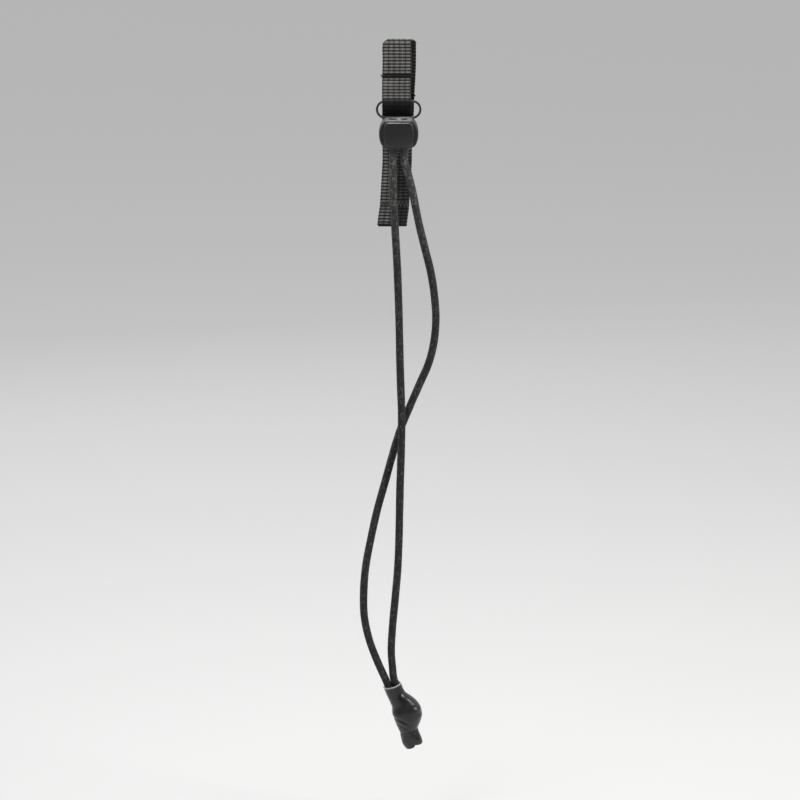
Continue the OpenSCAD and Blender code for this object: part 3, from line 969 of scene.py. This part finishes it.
def add_spring(material):
    """Closed and ground compression spring of drawn wire between the post and the pocket."""
    wire, mean, clearance = 0.35, 2.6, 0.05
    back = HOUSING_BACK - BACK_WALL - wire / 2 - clearance
    front = PLUNGER_BACK - POCKET_DEPTH + wire / 2 + clearance
    turns, closed = 6, wire * 1.04
    t = np.linspace(0, turns, turns * 40 + 1)
    open_pitch = (back - front - 2 * closed) / (turns - 2)
    run = np.minimum(t, 1) * closed + np.clip(t - 1, 0, turns - 2) * open_pitch \
        + np.maximum(t - turns + 1, 0) * closed
    angle = 2 * np.pi * t
    line = np.stack([mean * np.cos(angle), back - run, MID_Z + mean * np.sin(angle)], axis=1)
    return loft("spring_coil", rings_round(line, wire / 2, 10), material)


# ------------------------ knotted end

# Sway of the sleeve's centre line, and its radius, each at distances from the mouth
SLEEVE_LINE = [(0, 0), (3, -0.1), (5, 0.05), (6.5, 0.6), (8.2, 1.1), (12, 1.2), (14, 1.05),
               (16, 0.7), (18, 0), (19.5, -0.85), (21, -1.25), (23.5, -1.5), (25.4, -1.4), (27, -1.3)]
SLEEVE_RADII = [(0, 3.55), (2.6, 3.5), (4.6, 3.5), (6.2, 4.0), (8.2, 4.5), (9.7, 5.15), (11, 5.5),
                (12.2, 5.65), (13.8, 5.6), (16, 5.25), (18, 4.6), (19.4, 3.85), (21, 3.7),
                (23.5, 3.85), (25.2, 3.7), (27, 3.2)]
# Where the knot's strands push the sleeve out: angle (0 is right, -pi/2 the front), distance,
# height, angular reach and length
SLEEVE_LUMPS = [(-0.85, 7.0, 0.4, 0.5, 1.25), (-0.75, 9.6, 0.44, 0.54, 1.25),
                (-0.65, 12.4, 0.44, 0.56, 1.35), (-0.5, 15.2, 0.25, 0.5, 1.2), (-2.45, 11.4, 0.5, 0.55, 1.7),
                (-1.5, 14.8, 0.3, 0.8, 2.0), (1.3, 10.0, 0.4, 0.8, 2.6), (2.4, 14.5, 0.4, 0.8, 2.6),
                (0.7, 16.0, 0.25, 0.8, 2.0), (-0.2, 24.0, 0.1, 0.8, 2.2), (3.0, 23.6, 0.12, 0.8, 2.4)]


def eased(table, s):
    """Values between the table's points at distances s, with the corners rounded off."""
    even = np.linspace(0, 27, 271)
    values = np.interp(even, *np.array(table).T)
    reach = 8
    kernel = np.ones(2 * reach + 1) / (2 * reach + 1)
    return np.interp(s, even, np.convolve(np.pad(values, reach, "edge"), kernel, "valid"))


def hump(x, width):
    """A smooth hump of height 1 around x = 0."""
    return np.exp(-(x / width) ** 2)


def turned(angle):
    """The angle, brought between -pi and pi."""
    return np.angle(np.exp(1j * angle))


def sleeve_lumps(angle, s):
    """How far the knot's strands and the shrunk folds move the sleeve's skin, in millimetres."""
    out = 0
    for at, along, height, wide, long in SLEEVE_LUMPS:
        away = turned(angle - at - 0.08 * (s - along))
        out = out + height * hump(away, wide) * hump(s - along, long)
    # the slanting crease under the knot's left side, and the fold round its lower edge
    left_front = hump(turned(angle + 2.0), 0.95)
    slant = s - 16.7 - 4.6 * np.cos(angle)
    crease = left_front * (0.52 * hump(slant, 0.75) + 0.25 * hump(slant - 2.4, 0.6))
    crease += 0.16 * hump(s - 19.6 - 0.4 * np.cos(angle), 0.55)
    crease += 0.08 * hump(s - 5.6 - 0.9 * np.cos(angle + 1.1), 0.7)
    # a shallow dent between the two cord ends below the neck, and fine folds at the neck
    dent = 0.3 * hump(np.abs(np.sin(angle)) - 1, 0.05) * np.clip((s - 22.5) / 3.5, 0, 1)
    fold = 0.04 * np.sin(9 * angle + 1.1 * s) * hump(s - 20, 2.6)
    return out - crease - dent + fold


def sleeve_centre(s):
    """Points on the sleeve's swayed centre line, at distances s from its mouth."""
    sway = eased(SLEEVE_LINE, s)
    return MOUTH + np.multiply.outer(s, SLEEVE_AXIS) + np.multiply.outer(sway, SLEEVE_ACROSS)


def along_sleeve(s, cos, sin, radius):
    """Points round the sleeve's centre line, each at its own distance, direction and radius."""
    around = np.outer(cos, SLEEVE_ACROSS) + np.outer(sin, (0, 1.0, 0))
    return sleeve_centre(s) + radius[:, None] * around


def add_sleeve(material):
    """The shrunk tube: outer skin, cut rims and inner skin, over the knot's lumps."""
    sides, wall = 120, 0.5
    cos, sin = circle(sides)
    angle = np.linspace(0, 2 * np.pi, sides, endpoint=False)
    # from just inside the mouth, over its rim, down the outside, round the lower rim and back up
    # the inside, as (distance, inset, painted highlight on the cut edge)
    steps = [(1.6, wall, 0), (0.6, wall, 0), (0.12, wall, 0.2), (0.0, wall - 0.12, 0.6),
             (-0.02, 0.14, 0.9), (0.06, 0.0, 1.0), (0.3, -0.04, 0.7), (0.7, 0, 0.1)]
    steps += [(s, 0, 0) for s in np.arange(1.0, SLEEVE_LEN - 0.35, 0.16)]
    steps += [(SLEEVE_LEN - up, inset, edge) for up, inset, edge in (
        (0.25, 0, 0.1), (0.05, 0.1, 0.25), (0, wall - 0.1, 0.25), (0.3, wall, 0), (2, wall, 0))]
    steps += [(s, wall, 0) for s in np.arange(SLEEVE_LEN - 3, 2, -1.0)]
    rings = []
    for s, inset, _ in steps:
        # the mouth's cut dips in front, and the lower rim is notched between the cords
        upper = np.clip(1 - s / 4, 0, 1)
        lower = np.clip((s - 21) / (SLEEVE_LEN - 21), 0, 1)
        off_notch = cos - 0.2
        notch = hump(off_notch, np.where(off_notch < 0, 0.16, 0.42))
        place = s + upper * (0.38 * cos - 0.25 * sin) - 0.65 * lower ** 2 * notch
        flat = 1 - 0.1 * sin ** 2 * np.clip((s - 4) / 6, 0, 1)
        radius = eased(SLEEVE_RADII, s) * flat + sleeve_lumps(angle, s) * np.clip(s / 4, 0, 1)
        rings.append(along_sleeve(place, cos, sin, radius - inset))
    return add_mesh("shrunk_sleeve", np.concatenate(rings), grid_faces(len(rings), sides, joined=True),
                    material, edge=np.repeat([edge for _, _, edge in steps], sides))


def add_strands(name, lines, material, diameter, step, ends):
    """Short braided pieces with rounded ends, as one object."""
    points, faces, looks, count = [], [], [], 0
    for line in lines:
        rings, values = braided_rings(resampled(line, step), diameter, 48, 0.14, ends)
        rows, columns = rings.shape[:2]
        faces += grid_faces(rows, columns, offset=count)
        faces.append([count + k for k in range(columns)])
        faces.append([count + rows * columns - 1 - k for k in range(columns)])
        count += rows * columns
        points.append(rings.reshape(-1, 3))
        looks.append(values)
    joined = {key: np.concatenate([v[key].ravel() for v in looks]) for key in looks[0]}
    return add_mesh(name, np.vstack(points), faces, material, **joined)


def add_knot(material):
    """The overhand knot under the sleeve, as two braided strands wound round each other."""
    t = np.linspace(0, 1, 220)
    reach = 1.45 + 1.1 * np.sin(np.pi * t) ** 0.8
    turns = [2 * np.pi * 1.25 * t + phase for phase in (0, math.pi)]
    lines = [along_sleeve(3.8 + 15.2 * t, np.cos(turn), np.sin(turn), reach) for turn in turns]
    return add_strands("knot_strands", lines, material, diameter=2.75, step=0.2, ends=0.6)


def add_tips(material):
    """The two cut and melted cord ends, just inside the sleeve's lower rim."""
    lines = [sleeve_centre(np.linspace(19.7, SLEEVE_LEN - inside, 32)) + offset * SLEEVE_ACROSS
             for offset, inside in ((-1.42, 0.2), (1.42, 0.6))]
    return add_strands("cut_ends", lines, material, diameter=2.7, step=0.15, ends=0.5)


# ------------------------ the object

add_camera()
add_stage()

cord_look = cord_material()
left, left_line = add_cord_leg(-1, "left_leg", LEFT_ROUTE, cord_look)
right, right_line = add_cord_leg(1, "right_leg", RIGHT_ROUTE, cord_look)
sleeve = add_sleeve(shrink_material())
knot = add_knot(cord_look)
tips = add_tips(cord_look)
for leg, line, run, hang in ((left, left_line, "left_cord_run", "left_cord"),
                             (right, right_line, "right_cord_run", "right_cord")):
    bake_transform(leg)
    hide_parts(run, hang)

strap, strap_path = add_strap(webbing_material())
thread_look = thread_material()
housing_look = moulded_material("housing_plastic", (0.008, 0.0078, 0.0086), (0.016, 0.0156, 0.017),
                                0.5, 5200)
button_look = moulded_material("button_plastic", (0.006, 0.0058, 0.0066), (0.013, 0.0127, 0.014),
                               0.36, 4200)
tab_thread = add_threads("tab_stitches", tab_rows(), 0.0, thread_look)
tack_thread = add_threads("tack_stitches", tack_rows(), 1.0, thread_look)
housing = add_housing(housing_look)
button = add_button(button_look)
spring = add_spring(steel_material())
for piece, body, node, slot in (
        (sleeve, "cords", "shrink_sleeve", "shrink_tube"),
        (knot, "cords", "knot", "cord"),
        (tips, "cords", "cord_tips", "cord"),
        (strap, "strap", "webbing_strap", "webbing"),
        (tab_thread, "strap", "tab_stitching", "thread"),
        (tack_thread, "strap", "tail_bartack", "thread"),
        (housing, "lock", "housing", "housing_plastic"),
        (button, "button", "plunger", "button_plastic"),
        (spring, "lock", "return_spring", "spring_steel")):
    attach(piece, body)
    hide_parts(node)
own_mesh(spring)
